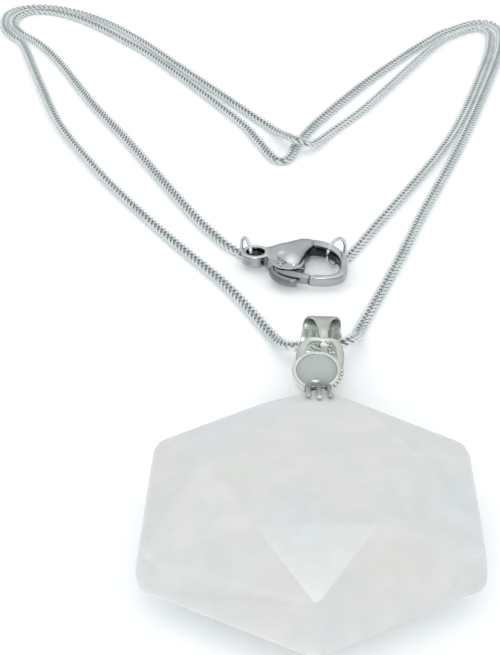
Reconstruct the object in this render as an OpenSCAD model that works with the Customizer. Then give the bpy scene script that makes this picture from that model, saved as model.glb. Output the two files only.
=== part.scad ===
/* [Stone] */
// Distance from the middle of the stone to a corner of its upper edge
stone_r = 15.7; // [14:0.1:17]
// How much wider the lower edge is than the upper one
stone_flare = 0.5; // [0:0.1:1]
// Half the width of the six-sided table
table_r = 9.1; // [8:0.1:9.5]
// Height of the faceted crown, on the front and on the back
crown_h = 2.7; // [2:0.1:3]
// Height of the side wall between the two crowns
wall_h = 2.6; // [2:0.1:3]
// How far the corner under the cap is drawn out
top_point = 1.4; // [1:0.1:2]
// How far the corner under the cap leans to the right
top_lean = 1; // [0.6:0.1:1.2]
// How far the upper edge draws back at the front corner
front_inset = 1.5; // [1:0.1:2.2]
// How far the lower edge comes out at the front corner
front_point = 1.2; // [0.6:0.1:1.4]

/* [Setting] */
// Thickness of the folded ribbon of the bail
ribbon_t = 0.32; // [0.3:0.01:0.36]
// Inner radius of the bezel cup
cup_r = 2.05; // [2.05:0.01:2.1]
// Wall of the bezel cup
cup_wall = 0.25; // [0.2:0.01:0.3]
// Height of the bezel cup
cup_h = 1.1; // [1:0.05:1.2]
// Height of the tapered foot under the cup
foot_h = 1; // [0.8:0.1:1.1]
// Radius of the foot where it meets the bail
foot_r = 1.5; // [1.3:0.1:1.7]
// Tilt of the bezel cup towards the stone's front
cup_tilt = 21; // [18:1:22]
// Height of the cabochon's dome above its edge
dome_h = 0.95; // [0.8:0.05:1]
// Clearance between the stone and the cap that holds it
seat_gap = 0.08; // [0.06:0.01:0.1]

/* [Chain] */
// Width of the curb chain
chain_d = 1.1; // [1:0.05:1.1]

/* [Clasp] */
// Outer radius of the clasp's eye
eye_r = 1.6; // [1.5:0.05:1.65]
// Radius of the hole in the eye
eye_hole_r = 0.95; // [0.9:0.05:1]
// Height of the eye
eye_h = 1.4; // [1.3:0.05:1.45]
// Height of the clasp at its shoulder
clasp_h = 2.4; // [2.3:0.05:2.5]
// Height of the hook's bar
hook_h = 1.2; // [1.1:0.05:1.25]
// Thickness of the lever
lever_t = 1; // [0.9:0.05:1.05]
// Clearance above and below the lever in its slot
lever_gap = 0.12; // [0.1:0.01:0.14]
// Radius of the pin that the lever turns on
pin_r = 0.3; // [0.28:0.01:0.32]
// Clearance around the pin
pin_gap = 0.05; // [0.04:0.01:0.06]
// Outer diameter of the jump ring in the eye
ring_l_d = 3.2; // [3.15:0.05:3.25]
// Outer diameter of the jump ring in the hook
ring_r_d = 3.5; // [3.45:0.05:3.6]
// Wire of the jump rings
ring_wire = 0.4; // [0.36:0.02:0.42]

/* [Hidden] */
stone_at = [5.2, -59.5, 0];
stone_turn = -1;
stone_h = 2 * crown_h + wall_h;
// Angles of the corners of the edges, the first one under the cap
corner_a = [for (i = [0:5]) 90 + 60 * i];
// How far the corners on each side of the front one are moved
left_corner = [-0.3, -1];
right_corner = [0, -0.4];
// Corners of the table for a half width of 1, the first one between edge corners 0 and 1
table_shape = [
    [-0.45, 1.13], [-1, 0.14], [-0.53, -0.85], [0.53, -0.85], [1, 0.14], [0.45, 1.13]];

// The setting's own frame has its origin near the stone's drawn-out corner
setting_at = [6.2, -43, 0];
setting_turn = -3.5;
// Middle line of the bail's ribbon: distance from the stone, height, half width
ribbon = [
    [1.6, 2.2, 0.9], [3.6, 1.9, 0.9], [6.2, 1.55, 1.05], [9, 1.2, 1.8], [13, 0.9, 2.15],
    [14.5, 1.2, 2.2], [15.2, 2, 2.1], [15.4, 3.1, 1.95], [15.1, 4.1, 1.85],
    [14.6, 4.8, 1.65], [14.1, 5.1, 1.2], [13.4, 5.25, 0.95], [12.3, 5.3, 0.75],
    [11.2, 5.3, 0.52], [10.3, 5.3, 0.4], [9.8, 5.28, 0.65], [9.4, 5.25, 1.6],
    [8.8, 5.2, 2.1], [7, 5.2, 2.2], [4, 5.2, 2], [1.6, 5.2, 1.4]];
cup_at = [-0.2, 3.3, 5.6];
// Slope of the crown along the line from the drawn-out corner to the table
crown_run = stone_r + stone_flare + top_point - table_r * table_shape[0][1];
crown_slope = atan(crown_h / crown_run);
claw_l = 6.5;
claw_w = 0.62;
claw_t = 0.55;
cap_w = 2.5;

clasp_at = [0.6, -8.3, 1.2];
slot_h = lever_t + 2 * lever_gap;
pivot = [2.7, -2.9];
// Outline of the clasp's shoulder and hook, from the eye round to the hook's tip and back
hook_outer = [
    [0.9, 1.3], [2, 1.15], [3.4, 1.65], [4.6, 2.35], [5.5, 2.7], [6.4, 2.65],
    [7.6, 2.2], [8.7, 1.35], [9.5, 0.2], [9.95, -1.1], [10, -2.6],
    [9.85, -4], [9.3, -5.2], [8.4, -5.85], [7.2, -6.05], [5.6, -5.73]];
hook_inner = [
    [6.72, -4.8], [7.3, -4.95], [8.1, -4.85], [8.75, -4.1], [9.05, -2.8],
    [9, -1.3], [8.65, -0.2], [8, 0.7], [7.2, 1.3], [6.4, 1.1],
    [5.85, 0.1], [5.5, -1.3], [5.3, -2.8], [4.7, -3.6], [3.6, -3.8],
    [2.4, -3.3], [1.7, -2.1], [1.2, -1.1]];
// Outline of the raised shoulder
shoulder = [
    [1.9, -1.7], [2.2, 0.4], [3.6, 1.2], [5.4, 2.4], [6.6, 2.1], [6, 1.1],
    [5.4, 0], [5.1, -1.4], [4.9, -2.8], [4.4, -3.4], [3.4, -3.7], [2.4, -3.4]];
// Room that the lever needs from shut to open
lever_space = [
    [0.9, -2.5], [1.8, -1.95], [3.1, -1.8], [4.1, -2], [5.3, -2.3], [5.5, -4],
    [6.9, -4.1], [6.6, -4.8], [5.5, -5.68], [5, -6.8], [3, -6.8], [0.9, -4.8]];
gate = [
    [2.1, -2.6], [3, -2.2], [3.7, -3.2], [4.7, -4.1], [5.8, -4.55], [6.6, -4.75],
    [5.5, -5.65], [4.6, -5.35], [3.6, -4.85], [2.7, -4.1], [2, -3.3]];
tab = [
    [1.95, -2.9], [2.15, -3.7], [2.75, -4.55], [3.55, -5.25], [4.4, -5.7],
    [4.35, -6.2], [3.7, -6.35], [2.9, -6], [2, -5.1], [1.55, -4.1], [1.5, -3.1]];

// The middle of each ring, and the direction its plane takes along the table
ring_l_at = [-0.4, -7.45, ring_l_d / 2 + 0.02];
ring_l_turn = 112;
ring_r_at = [9.5, -8.15, ring_r_d / 2 + 0.02];
ring_r_turn = 48;

lie = chain_d / 2;
// Route of the chain: from the ring in the eye, round twice, through the bail, to the other ring
route = [
    [-1.1, -5.85, lie], [-3.4, -2.7, lie], [-7.5, 5.7, lie],
    [-16, 26.2, lie], [-21, 37.7, lie], [-26, 51, lie], [-29, 58, lie],
    [-31.5, 62.6, lie], [-33.8, 65.7, lie], [-35.2, 68.7, lie],
    [-35.5, 71.7, lie], [-34.5, 74.4, lie], [-32.2, 75.6, lie],
    [-28.8, 74.5, lie], [-24, 70.2, lie], [-18.5, 62.9, lie], [-13, 54.4, lie],
    [-2.1, 33.6, lie], [1, 25.7, lie], [2.3, 21.7, lie], [3.3, 19.6, lie],
    [4.4, 19.5, lie], [5.3, 21.4, lie], [6.1, 24.7, lie], [9.4, 32.8, lie], [17.3, 48, lie],
    [27, 64, lie], [30.4, 67.8, lie], [33.3, 70.2, lie],
    [35.6, 70.5, lie], [36.9, 68.2, lie], [37, 64.2, lie], [35, 53.7, lie],
    [27.5, 26.9, lie], [20, 3.8, lie], [16.7, -6.9, lie],
    [13.5, -16.5, lie], [11.3, -23.1, 0.65], [10.9, -25.8, 1.4],
    [10.1, -28, 2.2], [8.8, -29.2, 2.4], [7.2, -29.5, 2.4], [5.4, -29.4, 2.3],
    [4, -28.8, 1.9], [2.9, -26.8, 1.2], [1.7, -23.3, 0.6], [-2.5, -13.8, lie],
    [-8.8, -2.7, lie], [-15.6, 9.9, lie], [-20.4, 20, lie],
    [-25.2, 31.9, lie], [-29.5, 47.4, lie], [-33, 60.7, lie],
    [-34.8, 64, lie], [-36.4, 67.4, lie], [-37.1, 71.2, lie],
    [-36.8, 74.8, lie], [-35, 77, lie], [-32, 77.6, lie], [-28, 76.2, lie],
    [-22.8, 72, lie], [-17.3, 64.7, lie], [-11.9, 55.6, lie],
    [-0.9, 36.1, lie], [2.2, 30.7, 0.6], [3.8, 27, 1.1], [5.1, 23.8, 1.9],
    [6.4, 22.7, 1.85], [8, 23.6, 1.1], [10.9, 29.2, lie], [16.1, 38.2, lie],
    [26.7, 60.2, lie], [30, 64.9, lie], [32.4, 67.2, lie],
    [34.4, 67.8, lie], [35.4, 66.2, lie], [35.2, 62.2, lie],
    [33.2, 52.7, lie], [25.6, 26.3, lie],
    [14.2, 0.4, lie], [10.95, -6.6, lie]];
chain_sides = 8;

// An edge ring: its corners lie evenly, except that some are moved off their circle
function edge_ring(r, z, front) =
    let (moved = [[top_lean, top_point], [0, 0], left_corner, [0, -front], right_corner, [0, 0]])
    [for (i = [0:5]) [
        r * cos(corner_a[i]) + moved[i][0],
        r * sin(corner_a[i]) + moved[i][1],
        z]];
function table_ring(r, z) = [for (p = table_shape) [r * p[0], r * p[1], z]];

// Two six-sided tables, two crowns of twelve triangles each, and six walls
module stone() {
    up = edge_ring(stone_r, crown_h + wall_h, -front_inset);
    low = edge_ring(stone_r + stone_flare, crown_h, front_point);
    face = table_ring(table_r, stone_h);
    back = table_ring(table_r, 0);
    color("whitesmoke")
    translate(stone_at)
    rotate(stone_turn)
    polyhedron(
        points = concat(back, low, up, face),
        faces = concat(
            [[0, 1, 2, 3, 4, 5]],
            [for (i = [0:5]) [i, 6 + i, 6 + (i + 1) % 6]],
            [for (i = [0:5]) [i, 6 + (i + 1) % 6, (i + 1) % 6]],
            [for (i = [0:5]) [6 + i, 12 + i, 12 + (i + 1) % 6]],
            [for (i = [0:5]) [6 + i, 12 + (i + 1) % 6, 6 + (i + 1) % 6]],
            [for (i = [0:5]) [12 + i, 18 + i, 12 + (i + 1) % 6]],
            [for (i = [0:5]) [18 + i, 18 + (i + 1) % 6, 12 + (i + 1) % 6]],
            [[23, 22, 21, 20, 19, 18]]));
}

// Direction of the ribbon's middle line at station i
function ribbon_dir(i) =
    let (a = ribbon[max(i - 1, 0)], b = ribbon[min(i + 1, len(ribbon) - 1)],
         d = [b[0] - a[0], b[1] - a[1]])
    d / norm(d);

// The folded ribbon of the bail, a strip carried round its side view
module ribbon_loop() {
    n = len(ribbon);
    corners = [
        for (i = [0:n - 1])
            let (d = ribbon_dir(i), h = ribbon_t / 2, w = ribbon[i][2])
            for (k = [[-1, -1], [1, -1], [1, 1], [-1, 1]])
                [k[0] * w, ribbon[i][0] - d[1] * h * k[1], ribbon[i][1] + d[0] * h * k[1]]];
    polyhedron(
        points = corners,
        faces = concat(
            [[3, 2, 1, 0]],
            [for (i = [0:n - 2]) for (k = [0:3])
                [4 * i + k, 4 * i + (k + 1) % 4, 4 * i + 4 + (k + 1) % 4, 4 * i + 4 + k]],
            [[4 * n - 4, 4 * n - 3, 4 * n - 2, 4 * n - 1]]));
}

// Two small windows in the front of the bail, on each side of its middle post
module bail_windows() {
    for (side = [-1, 1])
        translate([side * 1.05, 8, 4.6])
        cylinder(h = 1.2, r = 0.55, $fn = 32);
}

module at_cup() {
    translate(cup_at)
    rotate([cup_tilt, 0, 0])
    children();
}

// Three claws and the plate they grow from, flat over the crown's middle facet
module claws() {
    rotate([-crown_slope, 0, 0]) {
        for (i = [-1, 0, 1])
            translate([i * (cap_w - claw_w) / 2 - claw_w / 2, -claw_l, seat_gap])
            cube([claw_w, claw_l, claw_t]);
        translate([-cap_w / 2, -1.8, seat_gap])
        cube([cap_w, 2.6, claw_t]);
    }
}

// The cap over the stone's corner: claws on both sides and the block that joins them
module cap() {
    translate(stone_at)
    rotate(stone_turn)
    translate([top_lean, stone_r + stone_flare + top_point, stone_h / 2]) {
        translate([0, 0, wall_h / 2]) claws();
        mirror([0, 0, 1]) translate([0, 0, wall_h / 2]) claws();
        translate([-cap_w / 2, seat_gap + 0.02, -wall_h / 2 - 0.4])
        cube([cap_w, 1.3, wall_h + 0.8]);
    }
}

// Bail, bezel cup and claw cap, soldered into one piece
module setting() {
    color("silver")
    difference() {
        union() {
            cap();
            translate(setting_at)
            rotate(setting_turn) {
                difference() {
                    ribbon_loop();
                    bail_windows();
                }
                at_cup()
                translate([0, 0, -cup_h]) {
                    cylinder(h = cup_h, r = cup_r + cup_wall, $fn = 64);
                    translate([0, 0, -foot_h])
                    cylinder(h = foot_h, r1 = foot_r, r2 = cup_r + cup_wall, $fn = 64);
                }
            }
        }
        translate(setting_at)
        rotate(setting_turn)
        at_cup() {
            translate([0, 0, -cup_h + 0.35])
            cylinder(h = cup_h - 0.35, r = cup_r, $fn = 64);
            // Room for the cabochon's dome
            cylinder(h = 1.2, r1 = cup_r, r2 = 0.6, $fn = 64);
        }
    }
}

// Low-domed round stone in the bezel cup
module cabochon() {
    edge_r = cup_r - 0.07;
    base = -cup_h + 0.42;
    girdle = -0.1;
    ball_r = (edge_r * edge_r + dome_h * dome_h) / (2 * dome_h);
    color("lightsteelblue")
    translate(setting_at)
    rotate(setting_turn)
    at_cup()
    rotate_extrude($fn = 96)
    polygon(concat(
        [[0, base], [edge_r, base]],
        [for (i = [0:10])
            let (a = asin(edge_r / ball_r) * (1 - i / 10))
            [ball_r * sin(a), girdle + dome_h - ball_r + ball_r * cos(a)]]));
}

// Direction of the route at point i, level across the strand
function route_dir(i) =
    let (a = route[max(i - 1, 0)], b = route[min(i + 1, len(route) - 1)])
    (b - a) / norm(b - a);

// The chain as a plain round strand, swept along its route
module chain() {
    n = len(route);
    ring_pts = [
        for (i = [0:n - 1])
            let (d = route_dir(i),
                 side = [d[1], -d[0], 0] / norm([d[1], -d[0], 0]),
                 top = cross(side, d))
            for (k = [0:chain_sides - 1])
                let (a = 360 * (k + 0.5) / chain_sides, r = chain_d / 2)
                route[i] + r * cos(a) * side + r * sin(a) * top];
    color("slategray")
    polyhedron(
        points = ring_pts,
        faces = concat(
            [[for (k = [0:chain_sides - 1]) k]],
            [for (i = [0:n - 2]) for (k = [0:chain_sides - 1])
                [chain_sides * i + k,
                 chain_sides * (i + 1) + k,
                 chain_sides * (i + 1) + (k + 1) % chain_sides,
                 chain_sides * i + (k + 1) % chain_sides]],
            [[for (k = [0:chain_sides - 1]) chain_sides * n - 1 - k]]));
}

// A plate of height h about the clasp's middle plane
module plate(h) {
    linear_extrude(height = h, center = true)
    children();
}

module eye_hole() {
    cylinder(h = clasp_h + 1, r = eye_hole_r, center = true, $fn = 48);
}

// Eye, shoulder and hook, cast as one, with the pin pressed in
module clasp_body() {
    color("gray")
    translate(clasp_at) {
        difference() {
            union() {
                translate([0, 0, 0.1])
                cylinder(h = eye_h, r = eye_r, center = true, $fn = 64);
                plate(hook_h) polygon(concat(hook_outer, hook_inner));
            }
            eye_hole();
            plate(clasp_h) polygon(lever_space);
        }
        difference() {
            union() {
                plate(clasp_h - 0.4) offset(r = 0.2) polygon(shoulder);
                plate(clasp_h) polygon(shoulder);
            }
            eye_hole();
            plate(slot_h) polygon(lever_space);
        }
        translate([pivot[0], pivot[1], 0])
        cylinder(h = clasp_h - 0.6, r = pin_r, center = true, $fn = 32);
    }
}

// Gate and thumb tab, one lever that turns on the pin
module clasp_lever() {
    color("darkgray")
    translate(clasp_at)
    difference() {
        union() {
            plate(lever_t) polygon(gate);
            plate(lever_t) polygon(tab);
            translate([pivot[0], pivot[1], 0])
            cylinder(h = lever_t, r = 0.78, center = true, $fn = 48);
        }
        translate([pivot[0], pivot[1], 0])
        cylinder(h = lever_t + 1, r = pin_r + pin_gap, center = true, $fn = 32);
    }
}

// A jump ring standing on its edge
module jump_ring(at, turn, d) {
    color("lightgray")
    translate(at)
    rotate([90, 0, turn])
    rotate_extrude($fn = 64)
    translate([(d - ring_wire) / 2, 0])
    circle(r = ring_wire / 2, $fn = 16);
}

module ring_left() {
    jump_ring(ring_l_at, ring_l_turn, ring_l_d);
}

module ring_right() {
    jump_ring(ring_r_at, ring_r_turn, ring_r_d);
}

stone();
setting();
cabochon();
chain();
clasp_body();
clasp_lever();
ring_left();
ring_right();
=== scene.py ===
# %% [markdown]
# The quartz necklace, dressed for its picture
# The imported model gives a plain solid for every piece: the stone, its setting, the chain as a smooth strand
# and the clasp in flat plates. This lesson keeps each one's place and size, and works out the surface that
# the eye expects: soft edges on the quartz, single links in the chain and a cast swell in the clasp.

# %% Load the frame
import math

import bmesh
import bpy
import numpy as np
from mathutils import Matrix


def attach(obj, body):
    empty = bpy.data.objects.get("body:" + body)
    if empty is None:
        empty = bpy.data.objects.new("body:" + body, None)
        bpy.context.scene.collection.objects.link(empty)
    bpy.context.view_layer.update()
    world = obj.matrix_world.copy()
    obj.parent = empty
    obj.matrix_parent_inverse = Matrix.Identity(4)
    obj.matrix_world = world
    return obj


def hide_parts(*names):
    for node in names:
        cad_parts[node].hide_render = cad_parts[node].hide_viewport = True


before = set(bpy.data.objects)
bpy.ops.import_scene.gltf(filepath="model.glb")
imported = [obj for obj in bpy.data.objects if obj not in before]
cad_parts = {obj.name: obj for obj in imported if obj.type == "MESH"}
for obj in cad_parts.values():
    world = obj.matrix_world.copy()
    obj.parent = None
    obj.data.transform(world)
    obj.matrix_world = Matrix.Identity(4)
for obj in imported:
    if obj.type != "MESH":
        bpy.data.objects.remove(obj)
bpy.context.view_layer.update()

# %% [markdown]
# All sizes below are in millimetres, as on a jeweller's bench, and every mesh is scaled to metres when it is
# made. Two bodies come with the frame: the necklace itself and the clasp's lever, which turns on its pin.

# %% Units and bodies
MM = 0.001
NECKLACE = "necklace"
LEVER = "lever"

# %% [markdown]
# Every piece here is a grid of points: rows along one parameter, columns along the other. Two helpers turn
# such a grid into faces, and one puts points and faces into Blender. Whole arrays are used throughout, so a
# chain of eight hundred links takes no longer to write than one link.


# %% Grids into meshes
def grid_faces(rows, cols, ring=False):
    """Quads of a rows by cols grid. The last column joins the first, and where ring is set the last row joins
    the first one too."""
    row = np.arange(rows if ring else rows - 1)[:, None]
    col = np.arange(cols)[None, :]
    next_row = (row + 1) % rows
    next_col = (col + 1) % cols
    quad = np.stack([row * cols + col, row * cols + next_col, next_row * cols + next_col,
                     next_row * cols + col], -1)
    return quad.reshape(-1, 4)


def capped_tube(points):
    """A grid of rings closed by a fan at each end: returns its points with two poles added, and its faces."""
    rows, cols = points.shape[:2]
    flat = points.reshape(-1, 3)
    poles = np.array([points[0].mean(0), points[-1].mean(0)])
    col = np.arange(cols)
    next_col = (col + 1) % cols
    base = (rows - 1) * cols
    first = np.stack([next_col, col, np.full(cols, rows * cols)], -1)
    last = np.stack([base + col, base + next_col, np.full(cols, rows * cols + 1)], -1)
    faces = grid_faces(rows, cols).tolist() + first.tolist() + last.tolist()
    return np.vstack([flat, poles]), faces


def joined(parts):
    """Several (points, faces) pairs as one pair."""
    points = []
    faces = []
    start = 0
    for part_points, part_faces in parts:
        points.append(part_points)
        faces += [[corner + start for corner in face] for face in part_faces]
        start += len(part_points)
    return np.vstack(points), faces


def mesh_from(name, points, faces, scale=MM):
    """A mesh in metres from points in millimetres, with its faces turned outward."""
    mesh = bpy.data.meshes.new(name)
    mesh.from_pydata((np.asarray(points) * scale).tolist(), [], [list(map(int, face)) for face in faces])
    work = bmesh.new()
    work.from_mesh(mesh)
    bmesh.ops.recalc_face_normals(work, faces=work.faces)
    work.to_mesh(mesh)
    work.free()
    mesh.validate()
    return mesh


def places(mesh):
    """A mesh's points as rows, in millimetres."""
    flat = np.empty(len(mesh.vertices) * 3)
    mesh.vertices.foreach_get("co", flat)
    return flat.reshape(-1, 3) / MM


def normals(mesh):
    """The outward direction at each point of a mesh."""
    flat = np.empty(len(mesh.vertices) * 3)
    mesh.vertex_normals.foreach_get("vector", flat)
    return flat.reshape(-1, 3)


def moved(mesh, points):
    """Gives a finished mesh new places for its points, in millimetres."""
    mesh.vertices.foreach_set("co", (np.asarray(points) * MM).ravel())
    mesh.update()


def set_tone_and_painted_light(mesh, values):
    """Stores the colour's brightness at each point: a plain tone, or painted highlights and painted shade."""
    tone_and_painted_light = mesh.attributes.new("tone_and_painted_light", "FLOAT", "POINT")
    each = np.broadcast_to(np.asarray(values, float), len(mesh.vertices))
    tone_and_painted_light.data.foreach_set("value", each.copy())


def piece(mesh, body, material, replaces=(), smooth=True):
    """Puts a finished mesh into the scene, on its body and in its material slot."""
    thing = bpy.data.objects.new(mesh.name, mesh)
    bpy.context.scene.collection.objects.link(thing)
    mesh.polygons.foreach_set("use_smooth", np.full(len(mesh.polygons), smooth))
    mesh.materials.append(material)
    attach(thing, body)
    if replaces:
        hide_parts(*replaces)
    print(f"{mesh.name}: {len(mesh.vertices)} points, {len(mesh.polygons)} faces")
    return thing


# %% [markdown]
# A profile carried along a path needs three directions at every step: along the path, to the side and up.
# A smooth path comes from a few points by a Catmull-Rom curve, which passes through all of them.


# %% Paths and sweeps
def smooth_path(points, steps):
    """Catmull-Rom curve through the rows of points: each span is a cubic set by its four nearest points."""
    knots = np.asarray(points, float)
    knots = np.vstack([2 * knots[0] - knots[1], knots, 2 * knots[-1] - knots[-2]])
    t = (np.arange(steps) / steps)[None, :, None]
    a, b, c, d = (knots[n:len(knots) - 3 + n][:, None, :] for n in range(4))
    spans = 0.5 * (2 * b + (c - a) * t + (2 * a - 5 * b + 4 * c - d) * t**2
                   + (3 * b - a - 3 * c + d) * t**3)
    return np.vstack([spans.reshape(-1, knots.shape[1]), knots[-2]])


def directions(path):
    """Unit vectors along a path, level to its right, and up, at each of its points."""
    ahead = np.gradient(path, axis=0)
    ahead /= np.linalg.norm(ahead, axis=1)[:, None]
    side = np.stack([ahead[:, 1], -ahead[:, 0], np.zeros(len(path))], -1)
    side /= np.linalg.norm(side, axis=1)[:, None]
    return ahead, side, np.cross(side, ahead)


def rounded(cols, power):
    """One turn of a superellipse: cosine and sine of the angle, each raised to a power, so 1 is an ellipse
    and a smaller power squares its corners."""
    turn = np.linspace(0, 2 * np.pi, cols, endpoint=False) + np.pi / cols
    return [np.sign(wave) * abs(wave) ** power for wave in (np.cos(turn), np.sin(turn))]


def along_path(path, values):
    """A value for each point of a path, from a few values spread evenly along it."""
    return np.interp(np.linspace(0, 1, len(path)), np.linspace(0, 1, len(values)), values)


def bar(path, half_w, half_h, cols=20, power=0.6, shear=0.0):
    """A rounded bar: point (i, k) is the path's point i, plus half_w times the superellipse's first number to
    the side, plus half_h times its second one up. shear slants the end faces along the path."""
    ahead, side, up = directions(path)
    x, z = (wave[None, :, None] for wave in rounded(cols, power))
    width = np.broadcast_to(half_w, len(path))[:, None, None]
    height = np.broadcast_to(half_h, len(path))[:, None, None]
    slant = np.broadcast_to(shear, len(path))[:, None, None]
    ring = path[:, None, :] + width * x * side[:, None, :] + height * z * up[:, None, :]
    return capped_tube(ring + slant * width * x * ahead[:, None, :])


TURN_COLS = 72


def spun(profile, cols=TURN_COLS):
    """A profile of (radius, height) turned about the upright axis: each point goes round in a circle."""
    radius, height = np.hsplit(np.asarray(profile, float), 2)
    a = np.linspace(0, 2 * np.pi, cols, endpoint=False)
    return np.stack([radius * np.cos(a), radius * np.sin(a), np.repeat(height, cols, 1)], -1)


def turned(points, degrees, origin=(0, 0, 0)):
    """Points turned about the upright axis through 0, then moved to an origin."""
    a = math.radians(degrees)
    turn = np.array([[math.cos(a), -math.sin(a), 0], [math.sin(a), math.cos(a), 0], [0, 0, 1]])
    return np.asarray(points, float) @ turn.T + np.asarray(origin, float)


# %% [markdown]
# Cast and soldered metal has no sharp inner corners, because the metal flows there. Such a piece is made from
# separate bars and cushions, which a fine voxel remesh fuses into one skin. A few turns of smoothing then
# melt the places where they meet.


# %% Fusing
def fused(name, parts, cell, ease_turns):
    """Joins closed parts and remeshes them into one skin with cells of a given size, in millimetres. Returns
    the mesh in metres."""
    points, faces = joined(parts)
    raw = mesh_from(name + "_raw", points, faces, scale=1)
    holder = bpy.data.objects.new(name + "_raw", raw)
    bpy.context.scene.collection.objects.link(holder)
    skin = holder.modifiers.new("skin", "REMESH")
    skin.mode = "VOXEL"
    skin.voxel_size = cell
    ease = holder.modifiers.new("ease", "SMOOTH")
    ease.factor = 0.5
    ease.iterations = ease_turns
    bpy.context.view_layer.update()
    done = bpy.data.meshes.new_from_object(holder.evaluated_get(bpy.context.evaluated_depsgraph_get()))
    bpy.data.objects.remove(holder)
    done.name = name
    # The skin has one unit to the millimetre so far, while places and moved take a mesh in metres
    as_modelled = places(done) * MM
    moved(done, as_modelled)
    return done


# %% [markdown]
# The camera stands where the photograph's did: low, on the pendant's side, with a long lens that looks down
# by 29.6 degrees. The frame is 500 by 655, and its long side spans the lens's full angle.

# %% Camera
PHOTO_H = 655
FOCAL_PX = 1700
CAMERA_AT = (0, -175, 87)
LOOK_DOWN = 29.6

camera_data = bpy.data.cameras.new("camera")
camera_data.sensor_width = 36
camera_data.lens = camera_data.sensor_width * FOCAL_PX / PHOTO_H
camera_data.clip_start = 0.01
camera_data.clip_end = 10
camera = bpy.data.objects.new("camera", camera_data)
camera.location = [v * MM for v in CAMERA_AT]
camera.rotation_euler = (math.radians(90 - LOOK_DOWN), 0, 0)
bpy.context.scene.collection.objects.link(camera)
bpy.context.scene.camera = camera
print("lens, mm:", round(camera_data.lens, 1))

# %% [markdown]
# Materials come next. Each is a small node tree on Object coordinates, so its pattern sticks to the piece
# when the lever turns. A few helpers build the noise, colour ramp and bump that most of them share.


# %% Material helpers
def new_material(name, **sockets):
    """A material with one Principled shader, whose plain values are set on its own sockets."""
    material = bpy.data.materials.new(name)
    material.use_nodes = True
    shader = material.node_tree.nodes["Principled BSDF"]
    for key, value in sockets.items():
        shader.inputs[key.replace("_", " ")].default_value = value
    return material, material.node_tree, shader


def noise(tree, scale, detail=4, stretch=(1, 1, 1)):
    """Noise on the piece's own coordinates, with a number of waves to the metre."""
    where = tree.nodes.new("ShaderNodeTexCoord")
    mapping = tree.nodes.new("ShaderNodeMapping")
    mapping.inputs["Scale"].default_value = stretch
    pattern = tree.nodes.new("ShaderNodeTexNoise")
    pattern.inputs["Scale"].default_value = scale
    pattern.inputs["Detail"].default_value = detail
    tree.links.new(where.outputs["Object"], mapping.inputs["Vector"])
    tree.links.new(mapping.outputs["Vector"], pattern.inputs["Vector"])
    return pattern.outputs["Fac"]


def ramp(tree, source, stops):
    """Colours by value: stops is a list of (place, colour)."""
    node = tree.nodes.new("ShaderNodeValToRGB")
    node.color_ramp.elements[0].position, node.color_ramp.elements[0].color = stops[0]
    node.color_ramp.elements[1].position, node.color_ramp.elements[1].color = stops[-1]
    for place, colour in stops[1:-1]:
        node.color_ramp.elements.new(place).color = colour
    tree.links.new(source, node.inputs["Fac"])
    return node.outputs["Color"]


def span(tree, source, low, high):
    """Spreads a noise's middle values, which lie from 0.3 to 0.7, over low to high."""
    node = tree.nodes.new("ShaderNodeMapRange")
    for key, value in (("From Min", 0.3), ("From Max", 0.7), ("To Min", low), ("To Max", high)):
        node.inputs[key].default_value = value
    tree.links.new(source, node.inputs["Value"])
    return node.outputs["Result"]


def attribute(tree, name, output):
    """A value that the mesh carries at its points or corners."""
    node = tree.nodes.new("ShaderNodeAttribute")
    node.attribute_name = name
    return node.outputs[output]


def bump(tree, shader, source, height_mm, strength):
    """Raises the surface by a noise, by up to height_mm."""
    node = tree.nodes.new("ShaderNodeBump")
    node.inputs["Distance"].default_value = height_mm * MM
    node.inputs["Strength"].default_value = strength
    tree.links.new(source, node.inputs["Height"])
    tree.links.new(node.outputs["Normal"], shader.inputs["Normal"])


def mix(tree, factor, first, second, kind="MIX"):
    """Two colours mixed by a factor, which may be a number or another node's value."""
    node = tree.nodes.new("ShaderNodeMix")
    node.data_type = "RGBA"
    node.blend_type = kind
    for socket, value in ((node.inputs[0], factor), (node.inputs[6], first), (node.inputs[7], second)):
        if isinstance(value, bpy.types.NodeSocket):
            tree.links.new(value, socket)
        else:
            socket.default_value = value
    return node.outputs[2]


# %% [markdown]
# Polished metal is nearly a mirror, so what makes it look real is small: faint cloudy wear in its roughness,
# and fine marks from polishing. Light and shade are painted into the colour as well: painted highlights on
# outer faces and painted shade in recesses, which each mesh states in an attribute of its points. The chain
# is cooler than the setting, whose plate is a warm, greenish silver.


# %% Metals
def metal(name, light, dull, painted_shade, rough, wear_mm, grain_mm):
    """A polished metal: its colour drifts between two tones over wear_mm, falls to a painted shade colour
    where the mesh paints shade, and has polishing marks of grain_mm."""
    material, tree, shader = new_material(name, Metallic=1.0)
    wear = noise(tree, 1000 / wear_mm)
    tone = ramp(tree, wear, [(0.3, (*dull, 1)), (0.6, (*light, 1))])
    # Painted highlights and painted shade: the mesh's attribute mixes the painted shade colour with the tones
    shaded = mix(tree, attribute(tree, "tone_and_painted_light", "Fac"), (*painted_shade, 1), tone)
    tree.links.new(shaded, shader.inputs["Base Color"])
    tree.links.new(span(tree, wear, rough * 1.5, rough * 0.7), shader.inputs["Roughness"])
    marks = noise(tree, 1000 / grain_mm, detail=2, stretch=(1, 3, 1))
    bump(tree, shader, marks, height_mm=0.01, strength=0.25)
    return material


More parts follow.
